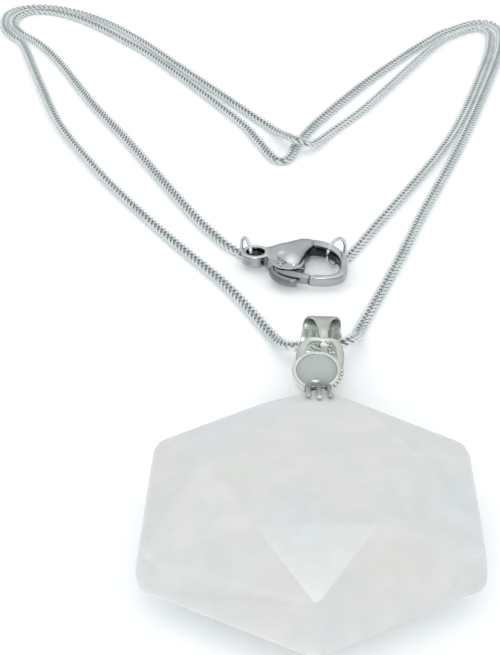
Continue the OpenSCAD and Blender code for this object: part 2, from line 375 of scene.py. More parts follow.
chain_steel = metal("chain_steel", light=(0.78, 0.82, 0.82), dull=(0.70, 0.74, 0.74),
                    painted_shade=(0.47, 0.51, 0.51), rough=0.42, wear_mm=5.0, grain_mm=0.3)
clasp_steel = metal("clasp_steel", light=(0.96, 0.98, 0.99), dull=(0.80, 0.83, 0.85),
                    painted_shade=(0.03, 0.04, 0.045), rough=0.2, wear_mm=2.2, grain_mm=0.2)
silver_plate = metal("silver_plate", light=(0.92, 0.96, 0.91), dull=(0.74, 0.80, 0.75),
                     painted_shade=(0.10, 0.10, 0.085), rough=0.22, wear_mm=1.4, grain_mm=0.2)
print("metals made:", chain_steel.name, clasp_steel.name, silver_plate.name)

# %% [markdown]
# Milky quartz is a cloud in glass. Light enters, is scattered by the veils inside and comes back pale, so
# the colour is nearly white with faint rosy, blue and straw patches several millimetres wide. Subsurface
# scattering gives the depth, and a clear polished face lies over it.


# %% Stones
def quartz_finish():
    """Pale cloud colours in broad patches, finer veils over them, and a polished face."""
    material, tree, shader = new_material("milky_quartz", Roughness=0.34, IOR=1.54, Subsurface_Weight=0.35,
                                          Subsurface_Scale=0.002, Specular_IOR_Level=0.3)
    shader.inputs["Subsurface Radius"].default_value = (1.0, 0.97, 0.94)
    cloud = noise(tree, 110, detail=3)
    tone = ramp(tree, cloud, [(0.34, (0.69, 0.72, 0.745, 1)), (0.45, (0.68, 0.715, 0.70, 1)),
                              (0.56, (0.715, 0.72, 0.715, 1)), (0.66, (0.70, 0.715, 0.69, 1))])
    veils = ramp(tree, noise(tree, 420, detail=6),
                 [(0.42, (0.975, 0.975, 0.975, 1)), (0.62, (1.02, 1.02, 1.02, 1))])
    clouded = mix(tree, 0.8, tone, veils, "MULTIPLY")
    # Each facet's tint: partly the quartz's own cloud colour, partly painted light and shade
    lit = mix(tree, 1.0, clouded, attribute(tree, "facet_tint_and_painted_light", "Color"), "MULTIPLY")
    tree.links.new(lit, shader.inputs["Base Color"])
    bump(tree, shader, noise(tree, 260, detail=2), height_mm=0.05, strength=0.12)
    return material


def cabochon_finish():
    """A grey translucent stone with broad, faint clouds."""
    material, tree, shader = new_material("grey_cabochon", Roughness=0.07, IOR=1.5, Subsurface_Weight=0.2,
                                          Subsurface_Scale=0.001, Coat_Weight=1.0, Coat_Roughness=0.03,
                                          Coat_IOR=1.8)
    tone = ramp(tree, noise(tree, 700, detail=3),
                [(0.35, (0.37, 0.42, 0.40, 1)), (0.65, (0.42, 0.46, 0.45, 1))])
    tree.links.new(tone, shader.inputs["Base Color"])
    bump(tree, shader, noise(tree, 900, detail=2), height_mm=0.02, strength=0.1)
    return material


milky_quartz = quartz_finish()
grey_cabochon = cabochon_finish()
print("stones made:", milky_quartz.name, grey_cabochon.name)

# %% [markdown]
# The quartz has a six-sided table in front and behind. Six points of its edge stand between the table's
# corners, so twelve triangles fall from each table to the edge, and six walls join the two edges. The corner
# under the cap is drawn out.

# %% The stone's corners
STONE_AT = np.array([5.2, -59.5, 0])
STONE_TURN = -1
EDGE_R = 15.7
FLARE = 0.5
TABLE_R = 9.1
CROWN = 2.7
WALL = 2.6
TOP_POINT = 1.4
TOP_LEAN = 1.0
FRONT_INSET = 1.5
FRONT_POINT = 1.2
STONE_H = 2 * CROWN + WALL
# How far the corners on each side of the front one are moved
LEFT_CORNER = (-0.3, -1, 0)
RIGHT_CORNER = (0, -0.4, 0)
TABLE_SHAPE = np.array([[-0.45, 1.13], [-1, 0.14], [-0.53, -0.85], [0.53, -0.85], [1, 0.14], [0.45, 1.13]])


def edge_ring(radius, height, front):
    """Six edge points every 60 degrees from the cap's corner, with that corner and the front three moved."""
    a = np.radians(90 + 60 * np.arange(6))
    ring = np.stack([radius * np.cos(a), radius * np.sin(a), np.full(6, height)], -1)
    ring[0] += (TOP_LEAN, TOP_POINT, 0)
    ring[2] += LEFT_CORNER
    ring[3, 1] -= front
    ring[4] += RIGHT_CORNER
    return ring


def table_ring(height):
    """The table's six corners, each between two edge points."""
    return np.column_stack([TABLE_R * TABLE_SHAPE, np.full(6, height)])


stone_points = turned(np.vstack([table_ring(0), edge_ring(EDGE_R + FLARE, CROWN, FRONT_POINT),
                                 edge_ring(EDGE_R, CROWN + WALL, -FRONT_INSET), table_ring(STONE_H)]),
                      STONE_TURN, STONE_AT)
print("stone's corners:", len(stone_points))

# %% [markdown]
# Each facet of the crown and each wall gets a tint, partly the quartz's own cloud colour and partly painted
# light and shade that makes one face lighter or darker than another. The front triangle that points down has
# a painted glow, paler towards its tip. A bevel gives every edge the soft turn that hand polishing leaves,
# and the upright edges of the walls, which get knocked most, the roundest.


# %% The stone
def stone_faces():
    """The facets in rows of six: back star and corner triangles, walls, front corner and star triangles.
    The two tables come last."""
    i = np.arange(6)
    j = (i + 1) % 6
    rows = [np.stack([i, 6 + j, j], -1), np.stack([i, 6 + i, 6 + j], -1),
            np.stack([6 + i, 12 + i, 12 + j], -1), np.stack([6 + i, 12 + j, 6 + j], -1),
            np.stack([12 + i, 18 + i, 12 + j], -1), np.stack([18 + i, 18 + j, 12 + j], -1)]
    tables = [[5, 4, 3, 2, 1, 0], [18, 19, 20, 21, 22, 23]]
    return [face for row in rows for face in row.tolist()] + tables


# Facet tints: partly the quartz's own cloud colours, partly painted light and shade; GREY, WARM and COOL
# faces are painted darker, ROSY and BLUE ones lighter
PLAIN = (1.0, 1.0, 1.0)
GREY = (0.97, 0.965, 0.955)
ROSY = (1.015, 1.01, 1.01)
BLUE = (1.04, 1.045, 1.055)
WARM = (0.975, 0.96, 0.955)
COOL = (0.995, 0.985, 0.985)
# A painted glow on the front triangle, brightest at its tip
TIP_PAINTED_GLOW = 1.13
# The first face of each row, the star triangle at the front and its lower corner
WALL_ROW = 12
CORNER_ROW = 24
STAR_ROW = 30
FRONT_STAR = STAR_ROW + 2
FRONT_TIP = 15
WALL_TINT_AND_SHADE = [PLAIN, COOL, WARM, WARM, COOL, PLAIN]
CORNER_TINT_AND_SHADE = [BLUE, ROSY, GREY, GREY, BLUE, BLUE]
STAR_TINT_AND_SHADE = [BLUE, ROSY, PLAIN, PLAIN, BLUE, BLUE]

quartz_mesh = mesh_from("quartz", stone_points, stone_faces())
tint_and_shade = np.ones((len(quartz_mesh.polygons), 4))
tint_and_shade[WALL_ROW:CORNER_ROW, :3] = WALL_TINT_AND_SHADE * 2
tint_and_shade[CORNER_ROW:STAR_ROW, :3] = CORNER_TINT_AND_SHADE
tint_and_shade[STAR_ROW:STAR_ROW + 6, :3] = STAR_TINT_AND_SHADE
corners = np.empty(len(quartz_mesh.polygons), int)
quartz_mesh.polygons.foreach_get("loop_total", corners)
facet_tint_and_painted_light = quartz_mesh.attributes.new("facet_tint_and_painted_light", "FLOAT_COLOR", "CORNER")
by_corner = np.repeat(tint_and_shade, corners, 0)
corner_point = np.empty(len(quartz_mesh.loops), int)
quartz_mesh.loops.foreach_get("vertex_index", corner_point)
front_star = np.repeat(np.arange(len(quartz_mesh.polygons)) == FRONT_STAR, corners)
# Painted glow at the tip of the front triangle
by_corner[front_star & (corner_point == FRONT_TIP), :3] *= TIP_PAINTED_GLOW
facet_tint_and_painted_light.data.foreach_set("color", by_corner.ravel())

ends = np.empty(len(quartz_mesh.edges) * 2, int)
quartz_mesh.edges.foreach_get("vertices", ends)
ends = np.sort(ends.reshape(-1, 2), 1)
upright = (ends[:, 1] - ends[:, 0] == 6) & (ends[:, 0] >= 6) & (ends[:, 0] < 12)
EDGE_SOFTNESS = 0.12
CORNER_SOFTNESS = np.array([EDGE_SOFTNESS, 0.45, 1.0, 0.35, 1.0, 0.45])
soft_share = quartz_mesh.attributes.new("bevel_weight_edge", "FLOAT", "EDGE")
soft_share.data.foreach_set("value", np.where(upright, CORNER_SOFTNESS[ends[:, 0] % 6], EDGE_SOFTNESS))
quartz = piece(quartz_mesh, NECKLACE, milky_quartz, ["stone"])
soft = quartz.modifiers.new("soft_edges", "BEVEL")
soft.width = 2.4 * MM
soft.segments = 5
soft.limit_method = "WEIGHT"
soft.harden_normals = True

# %% [markdown]
# The bail is one ribbon of plate folded over the chain. Seen from the side it is a loop: the rear leaf runs
# out low, turns up in a round bight and comes back on top, where it narrows to a post. Its side view and its
# width are given at a few stations, and a smooth curve runs through them.

# %% The bail's ribbon
SETTING_AT = np.array([6.2, -43, 0])
SETTING_TURN = -3.5
RIBBON_T = 0.34
BAIL_CELL = 0.06
# Distance from the stone, height, half width and sideways lean of the ribbon's middle
RIBBON = [
    [1.6, 2.2, 0.9, 0], [3.6, 1.9, 0.9, 0], [6.2, 1.55, 1.05, 0], [9, 1.2, 1.8, 0], [13, 0.9, 2.15, 0],
    [14.5, 1.2, 2.2, 0], [15.2, 2, 2.1, 0], [15.4, 3.1, 1.95, 0], [15.1, 4.1, 1.85, 0.05],
    [14.6, 4.8, 1.6, 0.1], [14.1, 5.1, 1.15, 0.12], [13.2, 5.27, 0.8, 0.15], [12, 5.32, 0.56, 0.2],
    [11, 5.36, 0.44, 0.24], [10, 5.42, 0.4, 0.3], [9, 5.45, 0.4, 0.3]]


def ribbon(stations, steps, thick):
    """A flat bar whose path lies in the plane across the ribbon, so its side is the ribbon's width."""
    outward, height, half_width, lean = smooth_path(stations, steps).T
    path = np.column_stack([lean, outward, height])
    ahead = np.gradient(path, axis=0)
    ahead /= np.linalg.norm(ahead, axis=1)[:, None]
    up = np.stack([np.zeros(len(path)), -ahead[:, 2], ahead[:, 1]], -1)
    x, z = rounded(28, 0.25)
    ring = path[:, None, :] + (thick / 2) * z[None, :, None] * up[:, None, :]
    return capped_tube(ring + half_width[:, None, None] * x[None, :, None] * np.array([1, 0, 0]))


print("stations along the ribbon:", len(RIBBON))

# %% [markdown]
# From the post's foot two arms spread like a whale's tail, turn down and become the sides of a lower plate,
# which carries the cup. Two slots are left between the arms and the plate, on either side of a short stem.
# Arms, stem and plate are bars, and one remesh fuses them with the ribbon and rounds every edge.


# %% The bail's fork
def level_bar(points, half_w, half_h, power=0.6):
    """A bar on a smooth path, with its half width and half height given at a few places along it."""
    path = smooth_path(points, 10)
    return bar(path, along_path(path, half_w), along_path(path, half_h), cols=20, power=power)


left_arm = level_bar([[0.4, 8.95, 5.4], [-0.1, 8.9, 5.5], [-0.9, 8.6, 5.6], [-1.45, 8.1, 5.45],
                      [-1.75, 7.3, 5.25], [-1.85, 6.2, 5.05], [-1.8, 5, 4.9]],
                     [0.3, 0.34, 0.4, 0.44, 0.42], [0.26, 0.32, 0.3, 0.22, 0.18])
right_arm = level_bar([[0.2, 8.95, 5.4], [0.7, 8.85, 5.5], [1.35, 8.4, 5.6], [1.8, 7.6, 5.4],
                       [1.95, 6.7, 5.15], [1.95, 5.8, 5.0], [1.85, 4.8, 4.9]],
                      [0.3, 0.34, 0.38, 0.36, 0.38], [0.26, 0.32, 0.3, 0.22, 0.18])
stem = level_bar([[0.38, 9.0, 5.3], [0.45, 8, 5.1], [0.42, 6.6, 4.9]], [0.4, 0.38, 0.48], [0.2, 0.12, 0.12])
lower_plate = level_bar([[0, 7.35, 4.95], [0, 6.4, 4.95], [0, 4, 4.9], [0, 2, 4.6]],
                        [2.1, 2.15, 1.9, 1.4], [0.16, 0.16, 0.2, 0.3], 0.4)

bail_mesh = fused("bail", [ribbon(RIBBON, 7, RIBBON_T), left_arm, right_arm, stem, lower_plate], BAIL_CELL, 5)
print("bail fused:", len(bail_mesh.polygons), "faces")

# %% [markdown]
# Light and shade on the bail are painted from place and direction. Painted highlights lie on the post and
# the arms. Inside the loop, painted shade darkens the top of the bight, and painted light makes it lighter
# low down, where daylight still falls in. The rear leaf under the plate, the plate's own underside, the outer
# flanks and the stem get painted shade as well. Each of these is a share from 0 to 1, worked out for all
# points at once, and the painted light and shade is built from them.


# %% The bail's painted light and shade
EYE_OF_LOOP = (12.6, 3.1)
FORK_END = 9.6


def inside_loop(at, out):
    """How far each point faces the loop's eye, fading towards the plate."""
    inward = np.stack([EYE_OF_LOOP[0] - at[:, 1], EYE_OF_LOOP[1] - at[:, 2]], -1)
    inward /= np.linalg.norm(inward, axis=1)[:, None]
    return np.clip((out[:, 1:] * inward).sum(1) * 1.6, 0, 1) * np.clip((at[:, 1] - 7.5) / 3, 0, 1)


def bail_painted_light(at, out):
    """The plain tone with painted highlights on post and arms, painted light low in the loop, then painted
    shade.
    """
    x, y, z = at.T
    hidden = inside_loop(at, out)
    in_bight = hidden * np.clip((z - 3.3) / 1.2, 0, 1)
    low_inside = hidden * np.clip((3.9 - z) / 0.6, 0, 1)
    on_rear_leaf = (out[:, 2] > 0) * (z < 3) * np.clip(8.6 - y, 0, 1)
    below_plate = (out[:, 2] < -0.2) * (z > 4) * (y < FORK_END)
    on_flank = np.clip((abs(x) - 1.7) / 0.5, 0, 1) * (y < 9.4)
    on_post = np.exp(-((x - 0.28) / 0.35) ** 2 - ((y - 10.3) / 0.9) ** 2)
    on_arms = np.exp(-((y - 8.75) / 0.4) ** 2) * (abs(x) < 1.7)
    on_stem = (abs(x - 0.42) < 0.6) * (abs(y - 7.6) < 0.7)
    # Painted highlights on the post and arms and painted light low in the loop; painted shade on the flanks
    # and stem, in the bight, on the rear leaf and under the plate
    tone_with_painted_light = 0.6 + 0.4 * (on_post + on_arms) * (z > 5.2) + 0.3 * low_inside - 0.12 * on_flank - 0.2 * on_stem
    return tone_with_painted_light * (1 - 0.91 * in_bight) * (1 - 0.85 * on_rear_leaf) * (1 - 0.3 * below_plate)


set_tone_and_painted_light(bail_mesh, bail_painted_light(places(bail_mesh), normals(bail_mesh)))
moved(bail_mesh, turned(places(bail_mesh), SETTING_TURN, SETTING_AT))
piece(bail_mesh, NECKLACE, silver_plate, ["setting"])

# %% [markdown]
# The cup that holds the small stone is turned on an axis, so it is a profile spun about that axis: a foot
# that widens upward, a thin wall, and a rim rubbed over the stone's edge. Along the rim's right side runs a
# short row of grains, and the wall behind them gets painted shade, which shows dark in the gaps between them.

# %% The cup and its grains
CUP_AT = np.array([-0.2, 3.3, 5.6])
CUP_TILT = 21
CUP_R = 2.05
CUP_WALL = 0.25
CUP_H = 1.1
FOOT_H = 1.0
FOOT_R = 1.5
DOME_H = 0.95
OUTER = CUP_R + CUP_WALL
GRAIN_R = 0.21
GRAIN_REACH = OUTER + 0.07
GRAIN_ANGLES = np.radians(np.arange(-74, 12, 11))


def at_cup(points):
    """Points of the cup's own frame, tilted and set in the setting, and the setting in the necklace."""
    a = math.radians(CUP_TILT)
    tilt = np.array([[1, 0, 0], [0, math.cos(a), -math.sin(a)], [0, math.sin(a), math.cos(a)]])
    return turned(np.asarray(points) @ tilt.T + CUP_AT, SETTING_TURN, SETTING_AT)


cup_profile = smooth_path([
    [0.02, -CUP_H + 0.3], [CUP_R - 0.2, -CUP_H + 0.3], [CUP_R, -CUP_H + 0.45], [CUP_R, -0.25],
    [CUP_R - 0.15, -0.02], [CUP_R - 0.1, 0.05], [CUP_R + 0.08, 0.06], [OUTER, -0.12], [OUTER, -0.6],
    [OUTER - 0.03, -CUP_H + 0.15], [OUTER - 0.2, -CUP_H - 0.1], [FOOT_R + 0.3, -CUP_H - 0.65],
    [FOOT_R, -CUP_H - FOOT_H], [0.02, -CUP_H - FOOT_H]], 4)


def ball(radius, rows=7, cols=10):
    """A ball as a grid of circles between its poles."""
    v = np.linspace(0, np.pi, rows)[1:-1, None]
    u = np.linspace(0, 2 * np.pi, cols, endpoint=False)
    return capped_tube(radius * np.stack([np.sin(v) * np.cos(u), np.sin(v) * np.sin(u),
                                          np.repeat(np.cos(v), cols, 1)], -1))


def grain_row():
    """Small balls along the rim: one ball, copied to every angle at once."""
    points, faces = ball(GRAIN_R)
    ring = np.stack([GRAIN_REACH * np.cos(GRAIN_ANGLES), GRAIN_REACH * np.sin(GRAIN_ANGLES),
                     np.full(len(GRAIN_ANGLES), -0.14)], -1)
    every = (ring[:, None, :] + points[None]).reshape(-1, 3)
    return every, [[corner + n * len(points) for corner in face] for n in range(len(ring)) for face in faces]


def behind_grains(points):
    """True for the points of the cup's outer wall in the groove behind the grains, which gets painted shade.
    """
    angle = np.degrees(np.arctan2(points[:, 1], points[:, 0]))
    on_wall = abs(np.hypot(points[:, 0], points[:, 1]) - OUTER) < 0.06
    beside = (angle > -80) & (angle < 14)
    below_rim = (points[:, 2] < -0.1) & (points[:, 2] > -0.6)
    return on_wall & beside & below_rim


cup_points, cup_faces = capped_tube(spun(cup_profile))
grain_points, grain_faces = grain_row()
in_groove = np.concatenate([behind_grains(cup_points), np.zeros(len(grain_points), bool)])
all_points, all_faces = joined([(cup_points, cup_faces), (grain_points, grain_faces)])
cup_mesh = mesh_from("bezel_cup", at_cup(all_points), all_faces)
# Painted shade in the groove behind the grains, a plain tone elsewhere
set_tone_and_painted_light(cup_mesh, np.where(in_groove, 0.1, 0.74))
piece(cup_mesh, NECKLACE, silver_plate)

# %% [markdown]
# The cabochon is a low dome of polished stone. Its profile rises steeply at the edge and flattens towards
# the top, by a power of the distance from the middle.

# %% The cabochon
DOME_EDGE = CUP_R - 0.07
DOME_BASE = -CUP_H + 0.42
DOME_GIRDLE = -0.13
DOME_POWER = 2.6
DOME_ROWS = 26
reach = np.sin(np.linspace(1, 0, DOME_ROWS) * np.pi / 2)
dome_profile = np.column_stack([DOME_EDGE * reach, DOME_GIRDLE + DOME_H * (1 - reach ** DOME_POWER)])
dome_profile = np.vstack([[0.02, DOME_BASE], [DOME_EDGE, DOME_BASE], dome_profile[:-1],
                          [0.01, DOME_GIRDLE + DOME_H]])
dome_points, dome_faces = capped_tube(spun(dome_profile))
dome_mesh = mesh_from("cabochon_dome", at_cup(dome_points), dome_faces)
piece(dome_mesh, NECKLACE, grey_cabochon, ["cabochon"])

# %% [markdown]
# The cap is what grips the quartz: a closed back behind the drawn-out corner, and three fingers above and
# below that lie on the crown. Each finger is a bar that leaves the cap's back, bends over the edge and
# follows the slope of the crown to a small round tip.

# %% The claw cap
CLAW_L = 6.5
CLAW_W = 0.62
CLAW_T = 0.36
CAP_W = 2.5
CAP_X = TOP_LEAN - 0.25
SEAT_GAP = 0.08
CAP_CELL = 0.06
EDGE_Y = EDGE_R + FLARE + TOP_POINT
CROWN_SLOPE = math.atan(CROWN / (EDGE_Y - TABLE_R * TABLE_SHAPE[0, 1]))


def over_crown(points, side):
    """Points laid on the crown at the cap's corner: y runs away from the stone and z off its surface."""
    x, away, off = np.asarray(points, float).T
    y = away * math.cos(CROWN_SLOPE) + off * math.sin(CROWN_SLOPE)
    z = WALL / 2 + off * math.cos(CROWN_SLOPE) - away * math.sin(CROWN_SLOPE)
    return np.column_stack([x + CAP_X, y + EDGE_Y, side * z + STONE_H / 2])


def claw(x, side, reach_mm):
    """A finger along the crown: a slim bar with a round pad at its tip."""
    rise = CLAW_T / 2 + SEAT_GAP
    path = smooth_path([[x * 0.8, 0.3, -0.8], [x * 0.9, 0.0, -0.2], [x, -0.6, rise - 0.16],
                        [x, -reach_mm / 2, rise], [x * 1.05, -reach_mm, rise]], 8)
    points, faces = bar(path, along_path(path, [CLAW_W / 2.2, CLAW_W / 2.6, CLAW_W / 2.8, CLAW_W / 3]),
                        along_path(path, [CLAW_T / 2, CLAW_T / 2.2, CLAW_T / 2.5, CLAW_T / 3]), 16, 0.75)
    pad_points, pad_faces = ball(CLAW_W / 2, 9, 14)
    pad_points = pad_points * (1, 1, 0.6) + path[-1]
    return [(over_crown(points, side), faces), (over_crown(pad_points, side), pad_faces)]


def yoke(side):
    """The bar at the fingers' roots that joins the three of them."""
    path = np.linspace([-CAP_W / 2, -0.35, -0.04], [CAP_W / 2, -0.35, -0.04], 7)
    points, faces = bar(path, 0.35, 0.13, cols=20, power=0.7)
    return over_crown(points, side), faces


cap_parts = [part for side in (1, -1) for i in (-1, 0, 1)
             for part in claw(i * (CAP_W - CLAW_W) / 2, side, CLAW_L + 0.1 - 0.7 * abs(i))]
cap_parts += [yoke(1), yoke(-1)]
back_path = np.linspace([-CAP_W / 2, 0.4, 0], [CAP_W / 2, 0.4, 0], 7)
back_points, back_faces = bar(back_path, 0.3, WALL / 2 - 0.35, cols=20, power=0.4)
cap_parts.append((back_points + (CAP_X, EDGE_Y, STONE_H / 2), back_faces))
cap_mesh = fused("claw_cap", cap_parts, CAP_CELL, 3)
# Painted light and shade on the fingers: lighter at their tips, with painted shade towards the cup that
# shades them
from_tip = places(cap_mesh)[:, 1] - (EDGE_Y - CLAW_L)
set_tone_and_painted_light(cap_mesh, np.interp(from_tip, [0, 1, 3, CLAW_L], [0.85, 0.5, 0.3, 0.25]))
moved(cap_mesh, turned(places(cap_mesh), STONE_TURN, STONE_AT))
piece(cap_mesh, NECKLACE, silver_plate)

# %% [markdown]
# The chain is a curb: every link is an oval of wire twisted half a turn, so that it lies flat with its
# neighbours hooked through both ends. Its middle line is an ellipse whose height rises and falls twice on
# the way round. Neighbours then pass each other above on one side and below on the other. The whole chain
# follows the route of the imported strand, which is listed here by points along it.

# %% The chain's route
LIE = 0.55
LEFT_RING_WIRE = [-0.85, -6.45, 0.75]
RIGHT_RING_WIRE = [10.35, -7.25, 0.75]
ROUTE = [
    [-1.1, -5.85, LIE], [-3.4, -2.7, LIE], [-7.5, 5.7, LIE], [-16, 26.2, LIE], [-21, 37.7, LIE],
    [-26, 51, LIE], [-29, 58, LIE], [-31.5, 62.6, LIE], [-33.8, 65.7, LIE], [-35.2, 68.7, LIE],
    [-35.5, 71.7, LIE], [-34.5, 74.4, LIE], [-32.2, 75.6, LIE], [-28.8, 74.5, LIE], [-24, 70.2, LIE],
    [-18.5, 62.9, LIE], [-13, 54.4, LIE], [-2.1, 33.6, LIE], [1, 25.7, LIE], [2.3, 21.7, LIE],
    [3.3, 19.6, LIE], [4.4, 19.5, LIE], [5.3, 21.4, LIE], [6.1, 24.7, LIE], [9.4, 32.8, LIE],
    [17.3, 48, LIE], [27, 64, LIE], [30.4, 67.8, LIE], [33.3, 70.2, LIE], [35.6, 70.5, LIE],
    [36.9, 68.2, LIE], [37, 64.2, LIE], [35, 53.7, LIE], [27.5, 26.9, LIE], [20, 3.8, LIE],
    [16.7, -6.9, LIE], [13.5, -16.5, LIE], [11.3, -23.1, 0.65], [10.9, -25.8, 1.4], [10.1, -28, 2.2],
    [8.8, -29.2, 2.4], [7.2, -29.5, 2.4], [5.4, -29.4, 2.3], [4, -28.8, 1.9], [2.9, -26.8, 1.2],
    [1.7, -23.3, 0.6], [-2.5, -13.8, LIE], [-8.8, -2.7, LIE], [-15.6, 9.9, LIE], [-20.4, 20, LIE],
    [-25.2, 31.9, LIE], [-29.5, 47.4, LIE], [-33, 60.7, LIE], [-34.8, 64, LIE], [-36.4, 67.4, LIE],
    [-37.1, 71.2, LIE], [-36.8, 74.8, LIE], [-35, 77, LIE], [-32, 77.6, LIE], [-28, 76.2, LIE],
    [-22.8, 72, LIE], [-17.3, 64.7, LIE], [-11.9, 55.6, LIE], [-0.9, 36.1, LIE], [2.2, 30.7, 0.6],
    [3.8, 27, 1.1], [5.1, 23.8, 1.9], [6.4, 22.7, 1.85], [8, 23.6, 1.1], [10.9, 29.2, LIE],
    [16.1, 38.2, LIE], [26.7, 60.2, LIE], [30, 64.9, LIE], [32.4, 67.2, LIE], [34.4, 67.8, LIE],
    [35.4, 66.2, LIE], [35.2, 62.2, LIE], [33.2, 52.7, LIE], [25.6, 26.3, LIE], [14.2, 0.4, LIE],
    [10.95, -6.6, LIE]]

fine = smooth_path([LEFT_RING_WIRE, *ROUTE, RIGHT_RING_WIRE], 24)
along = np.concatenate([[0], np.cumsum(np.linalg.norm(np.diff(fine, axis=0), axis=1))])
print("chain route, mm:", round(along[-1], 1))

# %% [markdown]
# A real chain turns a little about its own length as it is laid, so some stretches show the flat of the
# links and others their edge. The roll here is a sum of two slow waves, and it dies out at both ends, where
# the first and last links lie flat round the wire of the jump rings.

# %% The links
PITCH = 0.82
WIRE_R = 0.165
LINK_A = 0.59
LINK_B = 0.5
LINK_C = 0.19
LINK_STEPS = 12
WIRE_SIDES = 5


def one_link():
    """A twisted oval of wire. Its middle line is (A cos t, B sin t, -C sin 2t), and at each of its points
    stands a circle of the wire's radius, square to the line."""
    t = np.linspace(0, 2 * np.pi, LINK_STEPS, endpoint=False)
    middle = np.stack([LINK_A * np.cos(t), LINK_B * np.sin(t), -LINK_C * np.sin(2 * t)], -1)
    run = np.stack([-LINK_A * np.sin(t), LINK_B * np.cos(t), -2 * LINK_C * np.cos(2 * t)], -1)
    run /= np.linalg.norm(run, axis=1)[:, None]
    out = np.cross(run, (0, 0, 1))
    out /= np.linalg.norm(out, axis=1)[:, None]
    over = np.cross(out, run)
    a = np.linspace(0, 2 * np.pi, WIRE_SIDES, endpoint=False)[None, :, None]
    wire = WIRE_R * (np.cos(a) * out[:, None, :] + np.sin(a) * over[:, None, :])
    return (middle[:, None, :] + wire).reshape(-1, 3)


def link_painted_shade(link):
    """Painted shade in the weave: darker towards the strand's middle, by each point's distance from it as a
    share of the most.
    """
    share = np.hypot(link[:, 1] / (LINK_B + WIRE_R), link[:, 2] / (LINK_C + WIRE_R))
    return np.clip((share - 0.35) / 0.45, 0, 1)


def chain_of_links(link):
    """One link at every pitch of the route, turned to the route's direction and rolled about it. Returns the
    points, the faces and the number of links."""
    count = int(along[-1] // PITCH)
    s = np.linspace(0, along[-1], count)
    centre = np.stack([np.interp(s, along, fine[:, n]) for n in range(3)], -1)
    ahead = np.stack([np.interp(s, along, np.gradient(fine[:, n], along)) for n in range(3)], -1)
    ahead /= np.linalg.norm(ahead, axis=1)[:, None]
    side = np.stack([ahead[:, 1], -ahead[:, 0], np.zeros(count)], -1)
    side /= np.linalg.norm(side, axis=1)[:, None]
    up = np.cross(side, ahead)
    loose = np.clip(np.minimum(s, s[-1] - s) / 6, 0, 1)
    roll = loose * (0.2 * np.sin(s / 17.0) + 0.15 * np.sin(s / 41.0 + 1.0))
    half = (LINK_B + WIRE_R) * abs(np.sin(roll)) + (LINK_C + WIRE_R) * np.cos(roll)
    centre[:, 2] += half - LIE
    across = np.cos(roll)[:, None] * side + np.sin(roll)[:, None] * up
    turn = np.stack([ahead, across, np.cross(across, ahead)], 1)
    points = centre[:, None, :] + np.einsum("vk,lkc->lvc", link, turn)
    faces = grid_faces(LINK_STEPS, WIRE_SIDES, ring=True)
    every = (faces[None] + (np.arange(count) * len(link))[:, None, None]).reshape(-1, 4)
    return points.reshape(-1, 3), every, count


link = one_link()
link_points, link_faces, link_count = chain_of_links(link)
print("links:", link_count)
links_mesh = mesh_from("chain_links", link_points, link_faces)
# Painted shade in the weave, the same on every link
set_tone_and_painted_light(links_mesh, np.tile(link_painted_shade(link), link_count))
piece(links_mesh, NECKLACE, chain_steel, ["chain"])

# %% [markdown]
# The clasp is cast: an eye, a swelling shoulder and a hook that curls back to the gate. The shoulder is
# split by a slot for the lever, so it is two cheeks on a solid core. All of its numbers are measured from the
# middle of the eye, at half the clasp's height.

# %% The clasp's parts
CLASP_AT = np.array([0.6, -8.3, 1.2])
CLASP_CELL = 0.07
PIVOT = np.array([2.7, -2.9, 0])
PATH_STEPS = 8
GATE_SLANT = 0.95
EYE_R = 1.28
EYE_WALL = 0.33
EYE_HALF_H = 0.7
EYE_SIDES = 24
SWELL = [[1.6, 0.6], [2.3, 1.15], [3.5, 1.7], [4.6, 2.3], [5.5, 2.65], [6.5, 2.3], [6.4, 1.1], [5.9, 0.2],
         [5.55, -0.6], [5.15, -2], [4.75, -3.1], [4.2, -3.45], [3.55, -3.15], [3, -2.55], [2.5, -1.9],
         [1.9, -0.9], [1.5, -0.2]]
CHEEK = [[1.5, 0.8], [2.3, 1.05], [3.5, 1.5], [4.6, 2.2], [5.5, 2.5], [6.3, 2.1], [6.1, 1.1], [5.65, 0],
         [5.45, -1.4], [5.3, -2.6], [4.95, -3.5], [4.2, -3.95], [3.2, -3.95], [2.35, -3.6], [1.75, -2.8],
         [1.45, -1.8], [1.3, -0.8]]
CORE = [[0.9, 0.9], [2.1, 1.0], [3.4, 1.5], [4.6, 2.1], [5.6, 2.5], [6.3, 2.1], [6.0, 1.1], [5.55, -0.2],
        [5.2, -1.6], [4.0, -1.7], [3.0, -1.6], [1.9, -1.75], [1.1, -1.0]]
HOOK = [[5.0, 1.3, 0], [6.2, 1.95, 0], [7.3, 1.75, 0], [8.35, 1.05, 0], [9.15, 0.0, 0], [9.55, -1.25, 0],
        [9.62, -2.65, 0], [9.42, -4.0, 0], [8.9, -5.0, 0], [7.9, -5.5, 0], [6.95, -5.52, 0], [6.12, -5.38, 0]]


def cushion(outline, middle, rims, tops, rows=10, steps=6):
    """A domed plate. The outline shrinks towards its middle by the cosine of an angle, while the upper face
    rises from its rim to its top by the sine, and the lower face goes from its rim to its own top."""
    rim = smooth_path(outline + [outline[0]], steps)[:-1]
    centre = np.asarray(middle, float)
    angle = np.linspace(0, np.pi / 2, rows)[:-1]
    ring = centre + (rim[None] - centre) * np.cos(angle)[:, None, None] ** 0.8
    lower, upper = (rise + (top - rise) * np.sin(angle) for rise, top in zip(rims, tops))
    under, over = (np.concatenate([ring, np.repeat(z[:, None, None], len(rim), 1)], -1)
                   for z in (lower, upper))
    return capped_tube(np.concatenate([under[::-1], over]))


